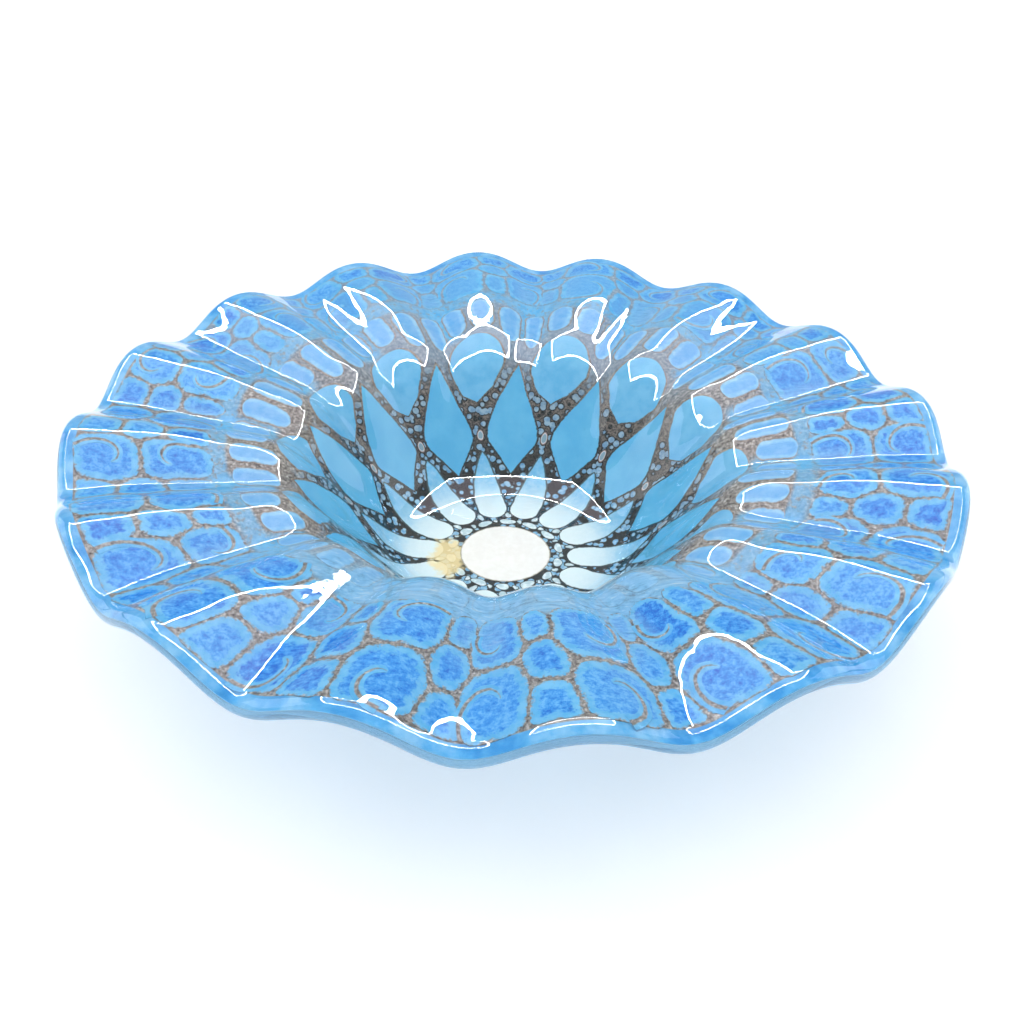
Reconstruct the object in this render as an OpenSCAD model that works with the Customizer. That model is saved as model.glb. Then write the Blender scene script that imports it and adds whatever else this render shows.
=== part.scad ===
// Fluted fused-glass bowl: two sheets of glass with inlaid enamel panes between them,
// fused flat and then slumped over a mould. Millimetres, +Z up, foot on z = 0.

/* [Bowl form] */
// Outer diameter at the rim
rim_d = 230; // [210:1:250]
// Diameter of the flat floor of the well
floor_d = 50; // [42:1:56]
// Radius of the bend between floor and wall
well_bend = 19; // [14:0.5:23]
// Slope of the wall of the well, in degrees
wall_angle = 50; // [44:1:56]
// Diameter at which the flange starts
lip_d = 138; // [126:1:150]
// Radius of the bend between wall and flange
lip_bend = 17; // [12:0.5:22]
// Slope of the flange, in degrees
flange_angle = 10; // [6:0.5:14]

/* [Flutes] */
// Number of flutes round the flange
flutes = 16; // [12:1:20]
// Rise of a ridge above the mean flange at the rim
flute_rise = 3.3; // [2:0.1:4.5]
// How much broader the ridges are than the valleys
flute_breadth = 0.07; // [0:0.01:0.12]
// Turn of flutes and rosette about the axis, in degrees
pattern_turn = 74.5; // [0:0.5:90]

/* [Glass] */
// Thickness of the blue base sheet
base_t = 3; // [2.4:0.1:4]
// Thickness of the clear cover sheet
cover_t = 3; // [2.4:0.1:4]
// Thickness of the inlaid panes
inlay_t = 0.5; // [0.3:0.05:0.8]
// Gap above and below the panes
fuse_gap = 0.1; // [0.08:0.01:0.2]
// Width of the clear border outside the inlay
border_w = 6; // [5:0.5:14]
// Depth ground off the underside for the flat foot
foot_grind = 0.3; // [0.2:0.05:0.6]

/* [Rosette] */
// Number of petals round the disc
petals = 14; // [10:1:18]
// Width of the lines between the panes
line_w = 1.5; // [1:0.1:2]
// Diameter of the opal disc in the middle
disc_d = 25.8; // [22:0.2:28]
// Diameter of one pebble in the ring round the disc
pebble_d = 3.4; // [2.4:0.1:4]
// Length of a petal
petal_l = 21.7; // [18:0.1:23]
// Width of a petal
petal_w = 8.3; // [6:0.1:9]
// Length of the rounded inner end of a petal
petal_round = 8; // [5:0.5:9]
// Length of the pointed outer end of a petal
petal_point = 12; // [9:0.5:13]
// Length of a diamond in from its corners
diamond_in = 15; // [12:0.5:17]
// Length of a diamond out from its corners
diamond_out = 16; // [14:0.5:18]
// Rise of an arch above its feet
arch_rise = 8; // [5:0.5:9]
// Length of the bars above the arches: bars and cells share the band out to the border
bar_l = 14; // [10:0.5:16]
// How much shorter the outer bars of each arch are
bar_fall = 4; // [0:0.5:6]
// Number of bars above each arch
bars = 4; // [3:1:5]
// Length of the cells on the flange, which fill the rest of that band
cell_l = 24; // [18:0.5:30]
// Length of the rounded ends of the cells on the flange
cell_round = 6; // [3:0.5:8]

/* [Hidden] */
disc_fn = 96;
pebble_fn = 24;
cols_per_petal = 8;
cols = cols_per_petal * petals;
sector = 360 / petals;
rest_z = base_t - foot_grind;

// The slumped profile, seen as the top of the base sheet.
floor_r = floor_d / 2;
wall_r = floor_r + well_bend * sin(wall_angle);
lip_r = lip_d / 2;
lip_start = lip_r - lip_bend * (sin(wall_angle) - sin(flange_angle));
edge_r = (base_t + cover_t) / 2;
edge_start = rim_d / 2 - edge_r * cos(flange_angle);
inlay_end = rim_d / 2 - border_w;
interlayer = inlay_t + 2 * fuse_gap;

wall_z = well_bend * (1 - cos(wall_angle));
lip_start_z = wall_z + (lip_start - wall_r) * tan(wall_angle);
lip_z = lip_start_z + lip_bend * (cos(flange_angle) - cos(wall_angle));

function slope_at(r) =
    r <= floor_r ? 0 :
    r < wall_r ? asin((r - floor_r) / well_bend) :
    r <= lip_start ? wall_angle :
    r < lip_r ? asin(sin(wall_angle) - (r - lip_start) / lip_bend) :
    flange_angle;

function height_at(r) =
    r <= floor_r ? 0 :
    r < wall_r ? well_bend * (1 - cos(slope_at(r))) :
    r <= lip_start ? wall_z + (r - wall_r) * tan(wall_angle) :
    r < lip_r ? lip_start_z + lip_bend * (cos(slope_at(r)) - cos(wall_angle)) :
    lip_z + (r - lip_r) * tan(flange_angle);

function clamp01(x) = min(1, max(0, x));
function ease(x) = x * x * (3 - 2 * x);

// Rise of the flutes: broad ridges, narrower valleys, growing up the wall and on out to the rim.
function wave(turn) = cos(flutes * turn) - flute_breadth * cos(2 * flutes * turn);
function flute_at(r, turn) =
    flute_rise * r / (rim_d / 2) * ease(clamp01((r - wall_r) / (lip_start - wall_r))) * wave(turn);

// Rings of the grid that the sheets and the panes share. The first lies on the flat floor
// under the edge of the disc, and only the panes use it. The flange needs no ring of its own
// between its ends, because its facets are flat from end to end.
well_steps = 2;
wall_steps = 1;
lip_steps = 2;
rings = concat([disc_d / 2, floor_r],
               [for (k = [1:well_steps]) floor_r + well_bend * sin(wall_angle * k / well_steps)],
               [for (k = [1:wall_steps]) wall_r + (lip_start - wall_r) * k / wall_steps],
               [for (k = [1:lip_steps]) lip_start + (lip_r - lip_start) * k / lip_steps],
               [inlay_end, edge_start]);
last = len(rings) - 1;

// A point of the grid on ring i and column j, d off the top of the base sheet.
function grid(i, j, d) =
    let (r = rings[i], a = slope_at(r), turn = 360 * j / cols, out = r - d * sin(a))
    [out * cos(turn), out * sin(turn), rest_z + height_at(r) + d * cos(a) + flute_at(r, turn)];

// A square of the grid is split from corner [i, j] to corner [i + 1, j + 1]. A place between
// rings and columns lies on one of these two facets.
function place(s, c, d) =
    let (i = min(floor(s), last - 1), j = floor(c), u = s - i, v = c - j,
         near = grid(i, j, d), far = grid(i + 1, j + 1, d),
         side = u > v ? grid(i + 1, j, d) : grid(i, j + 1, d))
    near + min(u, v) * (far - side) + max(u, v) * (side - near);

// Where the flutes grow up the wall, the two facets of a square aren't in one plane.
function twisted(i) = rings[i + 1] > wall_r && rings[i] < lip_start;

// The ring coordinate of a radius.
function ring_of(r) =
    let (i = max([0, for (k = [0:last - 1]) if (rings[k] <= r) k]))
    i + (r - rings[i]) / (rings[i + 1] - rings[i]);

module turned() {
    rotate([0, 0, pattern_turn])
        children();
}

// ---------------------------------------------------------------- sheets

// A closed shell from loops of cols points each, which run out to the rim and back again.
module skin(loops) {
    n = len(loops);
    out = [[0, 2, 1], [0, 3, 2]];
    back = [[0, 3, 1], [1, 3, 2]];
    function at(k, j) = k * cols + j % cols;
    polyhedron(
        points = [for (loop = loops, p = loop) p],
        faces = concat(
            [[for (j = [0:cols - 1]) at(0, j)]],
            [for (k = [0:n - 2], j = [0:cols - 1], f = k < n / 2 ? out : back)
                let (q = [at(k, j), at(k, j + 1), at(k + 1, j + 1), at(k + 1, j)]) [for (m = f) q[m]]],
            [[for (j = [0:cols - 1]) at(n - 1, cols - 1 - j)]]),
        convexity = 8);
}

function sheet_loop(i, d) = [for (j = [0:cols - 1]) grid(i, j, d)];

// The rounded rim: side is 1 above the joint and -1 below it, and angle runs from the face of
// the sheet (0) to the joint (90).
function rim_loop(side, angle) =
    [for (j = [0:cols - 1])
        let (turn = 360 * j / cols, a = flange_angle,
             x = edge_r * sin(angle), y = side * edge_r * cos(angle),
             r = edge_start + x * cos(a), out = r - y * sin(a))
        [out * cos(turn), out * sin(turn), rest_z + height_at(r) + y * cos(a) + flute_at(r, turn)]];

module base_glass() {
    color("#6FC3E8", 0.6)
    turned()
    difference() {
        skin(concat(
            [for (i = [1:last]) sheet_loop(i, -base_t)],
            [rim_loop(-1, 45), rim_loop(-1, 90)],
            [for (i = [last - 1:-1:1]) sheet_loop(i, 0)]));
        translate([0, 0, -base_t])
            cylinder(r = wall_r, h = base_t, $fn = disc_fn);
    }
}

// The interlayer closes outside the inlay: the sheets meet at the rim.
module cover_glass() {
    color("#D8F0FA", 0.35)
    turned()
    skin(concat(
        [for (i = [1:last - 1]) sheet_loop(i, interlayer)],
        [rim_loop(1, 90), rim_loop(1, 45), sheet_loop(last, cover_t)],
        [for (i = [last - 1:-1:1]) sheet_loop(i, interlayer + cover_t)]));
}

// ---------------------------------------------------------------- panes

// Two crossings closer than this share of a square become one, and so do a crossing and a ring.
snap_share = 0.04;
function snap(s) = abs(s - round(s)) < snap_share ? round(s) : s;
function fine(x) = round(x * 1e5) / 1e5;

// The part of a flat polygon where keep(point) isn't negative.
function cut(poly, keep) =
    [for (k = [0:len(poly) - 1])
        let (p = poly[k], q = poly[(k + 1) % len(poly)], a = keep(p), b = keep(q),
             x = a == b ? p : [for (m = [0, 1]) fine(p[m] + (q[m] - p[m]) * a / (a - b))])
        each (b >= 0 ? (a < 0 && b > 0 ? [x, q] : [q]) : (a > 0 ? [x] : []))];

// A pane reaches from column a to column b, and from radius low(x) to radius high(x),
// where x runs from -1 at a to 1 at b.
function pane_outline(a, b, low, high) =
    let (middle = (a + b) / 2, half = (b - a) / 2,
         inner = [for (c = [floor(a) + 1:ceil(b) - 1]) if (c > a + snap_share && c < b - snap_share) c])
    [for (c = concat([a], inner, [b]))
        let (x = (c - middle) / half) [c, snap(ring_of(low(x))), snap(ring_of(high(x)))]];

// A pane is cut up along the rings and facets of the sheets, so that it lies flat on them.
function pane_facets(outline) =
    [for (k = [0:len(outline) - 2])
        let (p = outline[k], q = outline[k + 1], j = floor((p[0] + q[0]) / 2),
             strip = [[p[0], p[1]], [q[0], q[1]], [q[0], q[2]], [p[0], p[2]]])
        for (i = [floor(min(p[1], q[1])):ceil(max(p[2], q[2])) - 1])
            let (band = cut(cut(strip, function (p) p[1] - i), function (p) i + 1 - p[1]),
                 over = function (p) (p[1] - i) - (p[0] - j),
                 under = function (p) (p[0] - j) - (p[1] - i))
            for (facet = twisted(i) ? [cut(band, over), cut(band, under)] : [band])
                if (len(distinct(facet)) > 2) distinct(facet)];

function distinct(points) =
    [for (k = [0:len(points) - 1]) if (search([points[k]], points, 1)[0] == k) points[k]];

// One pane in each sector, all cut from one pattern of facets.
module panes(a, b, low, high, copies = petals) {
    facets = pane_facets(pane_outline(a, b, low, high));
    corners = distinct([for (f = facets, p = f) p]);
    n = len(corners);
    patches = [for (f = facets) [for (p = f) search([p], corners, 1)[0]]];
    edges = [for (f = patches, k = [0:len(f) - 1]) [f[k], f[(k + 1) % len(f)]]];
    walls = [for (e = edges) if (search([[e[1], e[0]]], edges, 1)[0] == []) e];
    faces = concat(
        patches,
        [for (f = patches) [for (k = [len(f) - 1:-1:0]) f[k] + n]],
        [for (e = walls) [e[1], e[0], e[0] + n, e[1] + n]]);
    for (k = [0:copies - 1])
        let (turn = cols / copies * k)
        polyhedron(
            points = concat(
                [for (p = corners) place(p[1], p[0] + turn, fuse_gap + inlay_t)],
                [for (p = corners) place(p[1], p[0] + turn, fuse_gap)]),
            faces = faces, convexity = 4);
}

// The number of columns in a width at radius r.
function cols_in(width, r) = width / (2 * PI * r) * cols;

// The ends of a pane, from 0 in the middle to 1 at its corners.
function rounded(x) = x * x;
function pointed(x) = pow(abs(x), 1.2);

petal_foot = disc_d / 2 + pebble_d + 2 * line_w;
petal_tip = petal_foot + petal_l;
crossing_r = petal_tip + 2 * line_w;
arch_foot = crossing_r + diamond_out;
arch_top = arch_foot + arch_rise;

// The bars and the cells keep the proportion of bar_l to cell_l on a rim of any width.
band_share = (inlay_end - arch_top - 2 * line_w) / (bar_l + cell_l);
bar_end = arch_top + line_w + bar_l * band_share;
cell_foot = bar_end + line_w;
half_sector = cols_per_petal / 2;

module centre_disc() {
    color("#F7F1E4")
    translate([0, 0, rest_z + fuse_gap])
        cylinder(d = disc_d, h = inlay_t, $fn = disc_fn);
}

// Pebbles in the gap between the disc and the petals, one between each two petals.
module pebble_ring() {
    color("#D6ECF2")
    turned()
    for (k = [0:petals - 1])
        rotate([0, 0, sector * (k + 0.5)])
        translate([disc_d / 2 + line_w + pebble_d / 2, 0, rest_z + fuse_gap])
            cylinder(d = pebble_d, h = inlay_t, $fn = pebble_fn);
}

// Round inside, pointed outside.
module petal_panes() {
    w = cols_in(petal_w / 2, petal_foot + petal_l / 2);
    color("#CFEAF4")
    turned()
    panes(-w, w,
          function (x) petal_foot + petal_round * rounded(x),
          function (x) petal_tip - petal_point * pointed(x));
}

// Between the petals, with their corners at the crossings of the lattice.
module diamond_panes() {
    w = half_sector - cols_in(line_w / 2, crossing_r);
    color("#5BB9EE")
    turned()
    panes(half_sector - w, half_sector + w,
          function (x) crossing_r - line_w / 2 - diamond_in * (1 - pointed(x)),
          function (x) crossing_r + line_w / 2 + (diamond_out - line_w) * (1 - pointed(x)));
}

// Pointed at the crossing, round under the arch.
module arch_panes() {
    w = half_sector - cols_in(2 * line_w, arch_foot);
    color("#69C1F0")
    turned()
    panes(-w, w,
          function (x) crossing_r + 2 * line_w + (diamond_out - 2 * line_w) * pointed(x),
          function (x) arch_top - line_w / 2 - (arch_rise - 2 * line_w) * rounded(x));
}

// Bars above each arch, like the sticks of a fan.
module bar_panes() {
    pitch = cols_per_petal / bars;
    w = pitch / 2 - cols_in(line_w / 2, arch_top);
    color("#BFE3F5")
    turned()
    for (k = [0:bars - 1])
        let (middle = (k + 0.5) * pitch - half_sector)
        panes(middle - w, middle + w,
              function (x) arch_top + line_w,
              function (x) bar_end - bar_fall * rounded(middle / half_sector));
}

// Cells of deep blue that fill the flange out to the clear border.
module rim_panes() {
    w = cols_per_petal / 4 - cols_in(line_w / 2, cell_foot);
    color("#2F8DF0")
    turned()
    panes(-w, w,
          function (x) cell_foot + cell_round * rounded(x),
          function (x) inlay_end - cell_round * rounded(x),
          copies = 2 * petals);
}

base_glass();
cover_glass();
centre_disc();
pebble_ring();
petal_panes();
diamond_panes();
arch_panes();
bar_panes();
rim_panes();
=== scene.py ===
# A fluted bowl of fused glass: enamel panes sealed in pale blue glass, on a plain white floor.
import math
import random
from collections import namedtuple

import bpy
from mathutils import Euler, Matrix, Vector
from mathutils.bvhtree import BVHTree


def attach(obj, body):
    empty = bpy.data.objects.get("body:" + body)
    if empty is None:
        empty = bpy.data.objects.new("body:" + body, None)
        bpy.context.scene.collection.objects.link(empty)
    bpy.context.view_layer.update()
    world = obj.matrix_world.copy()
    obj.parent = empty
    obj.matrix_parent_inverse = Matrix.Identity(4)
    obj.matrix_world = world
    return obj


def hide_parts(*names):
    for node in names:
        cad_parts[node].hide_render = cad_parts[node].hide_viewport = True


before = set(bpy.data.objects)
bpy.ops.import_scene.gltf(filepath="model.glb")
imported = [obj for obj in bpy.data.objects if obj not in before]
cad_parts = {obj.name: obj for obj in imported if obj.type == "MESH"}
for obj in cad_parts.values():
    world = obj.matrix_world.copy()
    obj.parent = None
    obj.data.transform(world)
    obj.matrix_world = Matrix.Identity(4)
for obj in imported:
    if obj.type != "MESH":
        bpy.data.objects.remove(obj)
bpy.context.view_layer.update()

# ------------------------------------------------------------------ sizes, in millimetres

MM = 0.001
FULL_TURN = 2 * math.pi

# the mould that the sheets slump over
MOULD_R = 115.0
FLOOR_R = 25.0
WELL_BEND = 19.0
WALL_SLOPE = math.radians(50)
LIP_R = 69.0
LIP_BEND = 17.0
FLANGE_SLOPE = math.radians(10)
FLUTES = 16
FLUTE_RISE = 3.3
FLUTE_BREADTH = 0.07
FLUTE_TURN = math.radians(74.5)

# the glass, which ends a little inside the box of the solids
RIM_R = 114.9
BASE_T = 3.0
COVER_T = 3.0
INLAY_T = 0.7
REST_Z = 2.7
EDGE_R = 2.95
DROOP_R = 94.0
DROOP = 1.2
CROWN_R = 88.0
CROWN_REACH = 17.0
CROWN = 0.6
CREASE = math.radians(50)
GLASS_BENDS_LIGHT = 1.5

# how finely the glass is cut: round the bowl, round the edge, and over the floor, the bend, the wall,
# the lip and the flange
COLS = FLUTES * 24
EDGE_STEPS = 14
GLASS_STEPS = (6, 8, 8, 8, 24)

# the rosette, which lies a little off the middle of the well and slips back on the flange
PETALS = 14
SECTOR = FULL_TURN / PETALS
PETAL_TURN = math.radians(75.5)
OFF_CENTRE = Vector((-1.2, -0.9))
CENTRED_OVER = 26.0
SLIP = 8.0
SLIP_STARTS = 50.0
SLIP_GROWS_OVER = 30.0
SLIP_WANES = 90.0
SLIP_WANES_OVER = 22.0

DISC_R = 13.1
PEBBLES_OUT = 2.4
PEBBLE_R = 2.3
BEADS_OUT = 0.5
DROPS_OUT = 3.4
PETAL_FOOT = 17.8
PETAL_TIP = 43.0
PETAL_HALF = 4.9
PETAL_ROUND = 0.22
LINE_HALF = 1.25
LINE_BOW = 1.12
LOWER_CROSSING = 36.2
CROSSING_R = 46.1
UPPER_CROSSING = 61.2
DIAMOND_FOOT = 37.6
DIAMOND_TIP = 60.0
DIAMOND_HALF = 8.6
ARCH_V = 52.5
ARCH_FOOT = 58.5
ARCH_HEAD = 65.0
ARCH_TOP = 66.0
ARCH_FLARE = 2.4
ARCH_ROUND = 2.4
BARS = 4
BAR_FOOT = 1.3
BAR_END = 77.5
BAR_FALL = 2.5
BAR_APART = 0.55
CELLS_FOOT = 80.5
CELLS_END = 111.0
PATTERN_END = 114.0

# the wavy border of a pane: how far it sways, and how often, how shifted and how strongly each ripple runs
WAVE = 0.13
RIPPLES = ((7, 1, 1.0), (19, 2, 0.8), (33, 1, 0.5))
ANY_PHASE = (0, 6.28)
EDGE_SHARE = 0.9

# how finely the enamel is cut
PANE_ROWS = 36
PANE_COLS = 12
BLOB_RINGS = 5
DROP_RAYS = 36
GROUND_RINGS = 90
GROUND_COLS = PETALS * 32

# how far each layer of enamel lies above the base sheet: its underside and its top
GROUND = (0.08, 0.2)
ENAMEL = (0.3, 0.42)
OVERLAY = (0.46, 0.56)

# ------------------------------------------------------------------ where things show in the photograph

POINTS = {
    "left": (52, 470),
    "right": (972, 497),
    "top": (483, 254),
    "bottom": (472, 768),
    "disc middle": (503, 553),
    "crossing far": (484, 433),
    "crossing far right": (604, 460),
    "crossing right": (662, 528),
    "crossing far left": (376, 471),
    "crossing left": (349, 500),
    "petal tip far": (483, 448),
    "petal tip right": (651, 533),
    "petal tip left": (361, 513),
    "ridge far right": (709, 285),
    "ridge far left": (250, 292),
    "amber stain": (448, 557),
}

CAMERA_AT = (-0.00119, -0.24523, 0.18838)
CAMERA_TURN = (55.29, -1.434, 0.619)
CAMERA_LENS = 37.27
SENSOR_W = 36.0
PHOTO_SIDE = 1024
PHOTO_PULL = PHOTO_SIDE * CAMERA_LENS / SENSOR_W
LOBE_REACH = 20


def set_camera():
    data = bpy.data.cameras.new("camera")
    data.sensor_fit = "AUTO"
    data.sensor_width = SENSOR_W
    data.lens = CAMERA_LENS
    data.clip_start = 0.01
    data.clip_end = 30
    camera = bpy.data.objects.new("camera", data)
    camera.location = CAMERA_AT
    camera.rotation_euler = Euler([math.radians(a) for a in CAMERA_TURN])
    bpy.context.scene.collection.objects.link(camera)
    bpy.context.scene.camera = camera
    bpy.context.view_layer.update()
    return camera


camera = set_camera()


def to_photo(place):
    """Where a place in the room shows in the photograph's frame."""
    seen = camera.matrix_world.inverted() @ Vector(place)
    pull = PHOTO_PULL / -seen.z
    return PHOTO_SIDE / 2 + seen.x * pull, PHOTO_SIDE / 2 - seen.y * pull


def tree_of(piece):
    mesh = piece.data
    return BVHTree.FromPolygons([v.co for v in mesh.vertices], [tuple(p.vertices) for p in mesh.polygons])


def met(tree, start, aim):
    """Where a line meets a finished surface. A miss takes the place nearest the line."""
    place, normal, _, _ = tree.ray_cast(start, aim)
    if place is None:
        place = start
        for _ in range(12):
            place, normal, _, _ = tree.find_nearest(start + aim * max(0.0, (place - start).dot(aim)))
    return place, normal


def sealed_under(point):
    """Where an image point lies on the frit that carries the pattern, seen down through the glass."""
    x, y = point
    aim = Vector((x - PHOTO_SIDE / 2, PHOTO_SIDE / 2 - y, -PHOTO_PULL))
    aim = (camera.matrix_world.to_3x3() @ aim).normalized()
    place, normal = met(glass_tree, camera.matrix_world.translation, aim)
    facing = -normal.dot(aim)
    inward = math.sqrt(1 - (1 - facing * facing) / GLASS_BENDS_LIGHT ** 2)
    bent = aim / GLASS_BENDS_LIGHT + normal * (facing / GLASS_BENDS_LIGHT - inward)
    return met(ground_tree, place + bent * 0.01 * MM, bent)[0]


def shows_at(place):
    """The image point at which a place sealed in the glass shows."""
    straight = Vector(to_photo(place))
    point = straight.copy()
    for _ in range(8):
        point -= Vector(to_photo(sealed_under(point))) - straight
    return point


# ------------------------------------------------------------------ the form of the bowl

WALL_R = FLOOR_R + WELL_BEND * math.sin(WALL_SLOPE)
LIP_START = LIP_R - LIP_BEND * (math.sin(WALL_SLOPE) - math.sin(FLANGE_SLOPE))
WALL_Z = WELL_BEND * (1 - math.cos(WALL_SLOPE))
LIP_START_Z = WALL_Z + (LIP_START - WALL_R) * math.tan(WALL_SLOPE)
LIP_Z = LIP_START_Z + LIP_BEND * (math.cos(FLANGE_SLOPE) - math.cos(WALL_SLOPE))
EDGE_START = RIM_R - EDGE_R * math.cos(FLANGE_SLOPE)


def slope_at(r):
    if r <= FLOOR_R:
        return 0.0
    if r < WALL_R:
        return math.asin((r - FLOOR_R) / WELL_BEND)
    if r <= LIP_START:
        return WALL_SLOPE
    if r < LIP_R:
        return math.asin(math.sin(WALL_SLOPE) - (r - LIP_START) / LIP_BEND)
    return FLANGE_SLOPE


def height_at(r):
    if r <= FLOOR_R:
        return 0.0
    if r < WALL_R:
        return WELL_BEND * (1 - math.cos(slope_at(r)))
    if r <= LIP_START:
        return WALL_Z + (r - WALL_R) * math.tan(WALL_SLOPE)
    if r < LIP_R:
        return LIP_START_Z + LIP_BEND * (math.cos(slope_at(r)) - math.cos(WALL_SLOPE))
    return LIP_Z + (r - LIP_R) * math.tan(FLANGE_SLOPE)


def ease(x):
    x = min(1.0, max(0.0, x))
    return x * x * (3 - 2 * x)


def crest_at(turn):
    """1 on the crest of a flute and 0 in the valley."""
    return 0.5 + 0.5 * math.cos(FLUTES * turn)


def flute_at(r, turn):
    wave = math.cos(FLUTES * turn) - FLUTE_BREADTH * math.cos(2 * FLUTES * turn)
    return FLUTE_RISE * r / MOULD_R * ease((r - WALL_R) / (LIP_START - WALL_R)) * wave


def slipped(r, turn):
    """The pattern lies a little off towards the back where the flange begins."""
    grown = ease((r - SLIP_STARTS) / SLIP_GROWS_OVER) * (1 - ease((r - SLIP_WANES) / SLIP_WANES_OVER))
    return r + SLIP * math.sin(turn + PETAL_TURN) * grown


def on_bowl(r, turn, depth):
    """A place of the pattern at radius r and a turn, depth above the top of the base sheet."""
    r = slipped(r, turn)
    turn += PETAL_TURN
    flat = Vector((math.cos(turn), math.sin(turn))) * r
    flat += OFF_CENTRE * (1 - ease((r - CROSSING_R) / CENTRED_OVER))
    r = flat.length
    turn = math.atan2(flat.y, flat.x)
    slope = slope_at(r)
    out = r - depth * math.sin(slope)
    up = REST_Z + height_at(r) + depth * math.cos(slope) + flute_at(r, turn - FLUTE_TURN)
    return Vector((out * math.cos(turn), out * math.sin(turn), up)) * MM


# ------------------------------------------------------------------ meshes


def make_piece(name, points, faces, marks=None):
    mesh = bpy.data.meshes.new(name)
    mesh.from_pydata(points, [], faces)
    for mark, values in (marks or {}).items():
        layer = mesh.attributes.new(mark, "FLOAT", "POINT")
        layer.data.foreach_set("value", values)
    mesh.validate()
    piece = bpy.data.objects.new(name, mesh)
    bpy.context.scene.collection.objects.link(piece)
    mesh.shade_smooth()
    mesh.set_sharp_from_angle(angle=CREASE)
    return piece


def steps(a, b, n):
    return [a + (b - a) * k / n for k in range(n + 1)]


def woven(rows, cols, closed, start=0):
    """The faces of a net of points, laid row by row. The rows of a closed net are rings."""
    faces = []
    for i in range(rows - 1):
        a = start + i * cols
        b = a + cols
        for j in range(cols if closed else cols - 1):
            n = (j + 1) % cols
            faces.append((a + j, b + j, b + n, a + n))
    return faces


def turned(faces, by):
    """The same faces seen from behind, on points that lie so many places on."""
    return [tuple(by + p for p in reversed(face)) for face in faces]


def glass_loops():
    """Radius, depth and reach of each loop: from the middle out over the rim and back to the foot."""
    ends = (1.0, FLOOR_R, WALL_R, LIP_START, LIP_R, EDGE_START)
    radii = [ends[0]]
    for a, b, count in zip(ends, ends[1:], GLASS_STEPS):
        radii += steps(a, b, count)[1:]
    top = COVER_T + INLAY_T
    loops = []
    for r in radii:
        fall = max(0.0, (r - DROOP_R) / (EDGE_START - DROOP_R))
        loops.append((r, top - DROOP * fall * fall, 0.0))
    high = top - DROOP
    middle = (high - BASE_T) / 2
    for k in range(1, EDGE_STEPS):
        angle = math.pi * k / EDGE_STEPS
        loops.append((EDGE_START, middle + (high + BASE_T) / 2 * math.cos(angle), EDGE_R * math.sin(angle)))
    for r in reversed(radii):
        loops.append((r, -BASE_T, 0.0))
    return loops


def crown_at(r, turn):
    """Each flute is a little fuller over the middle of the flange."""
    if abs(r - CROWN_R) > CROWN_REACH:
        return 0.0
    return CROWN * math.cos((r - CROWN_R) / CROWN_REACH * math.pi / 2) ** 2 * crest_at(turn)


def glass_point(r, depth, reach, turn):
    """A place of the surface at radius r, depth above the base sheet's top and reach out over the edge."""
    slope = slope_at(r)
    if depth > 0 and reach == 0.0:
        depth += crown_at(r, turn)
    far = r + reach * math.cos(slope)
    out = far - depth * math.sin(slope)
    up = REST_Z + height_at(far) + depth * math.cos(slope) + flute_at(far, turn)
    turn += FLUTE_TURN
    return Vector((out * math.cos(turn), out * math.sin(turn), max(0.0, up))) * MM


def blow_glass():
    loops = glass_loops()
    points = []
    for r, depth, reach in loops:
        for j in range(COLS):
            points.append(glass_point(r, depth, reach, FULL_TURN * j / COLS))
    faces = woven(len(loops), COLS, True)
    last = (len(loops) - 1) * COLS
    faces.append(tuple(range(COLS)))
    faces.append(tuple(last + j for j in reversed(range(COLS))))
    return make_piece("fused_glass", points, faces)


def border_of(deep, wide, closed):
    """The points round the border of a patch, in order. That of a closed patch is its first ring."""
    border = list(range(wide))
    if not closed:
        border += [i * wide + wide - 1 for i in range(1, deep)]
        border += [(deep - 1) * wide + j for j in reversed(range(wide - 1))]
        border += [i * wide for i in reversed(range(1, deep - 1))]
    return border


def closed_slab(patches, name):
    """One piece from flat patches of enamel.

    A patch is its rows of (radius, turn, distance from the edge), the layer it lies in, whether its rows
    close into rings about a middle, and its tone.
    """
    points = []
    faces = []
    marks = {"edge": [], "span": [], "tone": [], "ridge": []}
    for rows, (low, high), closed, tone in patches:
        deep = len(rows)
        wide = len(rows[0])
        start = len(points)
        for depth in (high, low):
            for row in rows:
                for r, turn, edge in row:
                    points.append(on_bowl(r, turn, depth))
                    marks["edge"].append(edge)
                    marks["span"].append(r)
                    marks["tone"].append(tone)
                    marks["ridge"].append(crest_at(turn + PETAL_TURN - FLUTE_TURN))
        top = woven(deep, wide, closed, start)
        if closed:
            top.append(tuple(start + (deep - 1) * wide + j for j in range(wide)))
        faces += top + turned(top, deep * wide)
        border = border_of(deep, wide, closed)
        under = start + deep * wide
        for a, b in zip(border, border[1:] + border[:1]):
            faces.append((start + a, start + b, under + b, under + a))
    return make_piece(name, points, faces, marks)


def pane(middle, foot, tip, half, rng, rows=PANE_ROWS, cols=PANE_COLS):
    """A pane about a middle turn, from its foot to its tip, half(t) millimetres wide to either side."""
    lean = rng.uniform(-1, 1) * WAVE
    phases = [rng.uniform(*ANY_PHASE) for _ in range(3)]
    grid = []
    for i in range(rows + 1):
        t = 0.5 - 0.5 * math.cos(math.pi * i / rows)
        r = foot + (tip - foot) * t
        wide = half(t)
        row = []
        for x in steps(-1, 1, cols):
            side = phases[0 if x < 0 else 1]
            bulge = WAVE * sum(share * math.sin(often * t + by * side) for often, by, share in RIPPLES)
            aside = x * (wide + bulge * min(1.0, wide)) + lean * math.sin(3 * t + phases[2])
            row.append((r, middle + aside / r, EDGE_SHARE * wide * (1 - abs(x))))
        grid.append(row)
    return grid, ENAMEL, False, rng.random()


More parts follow.
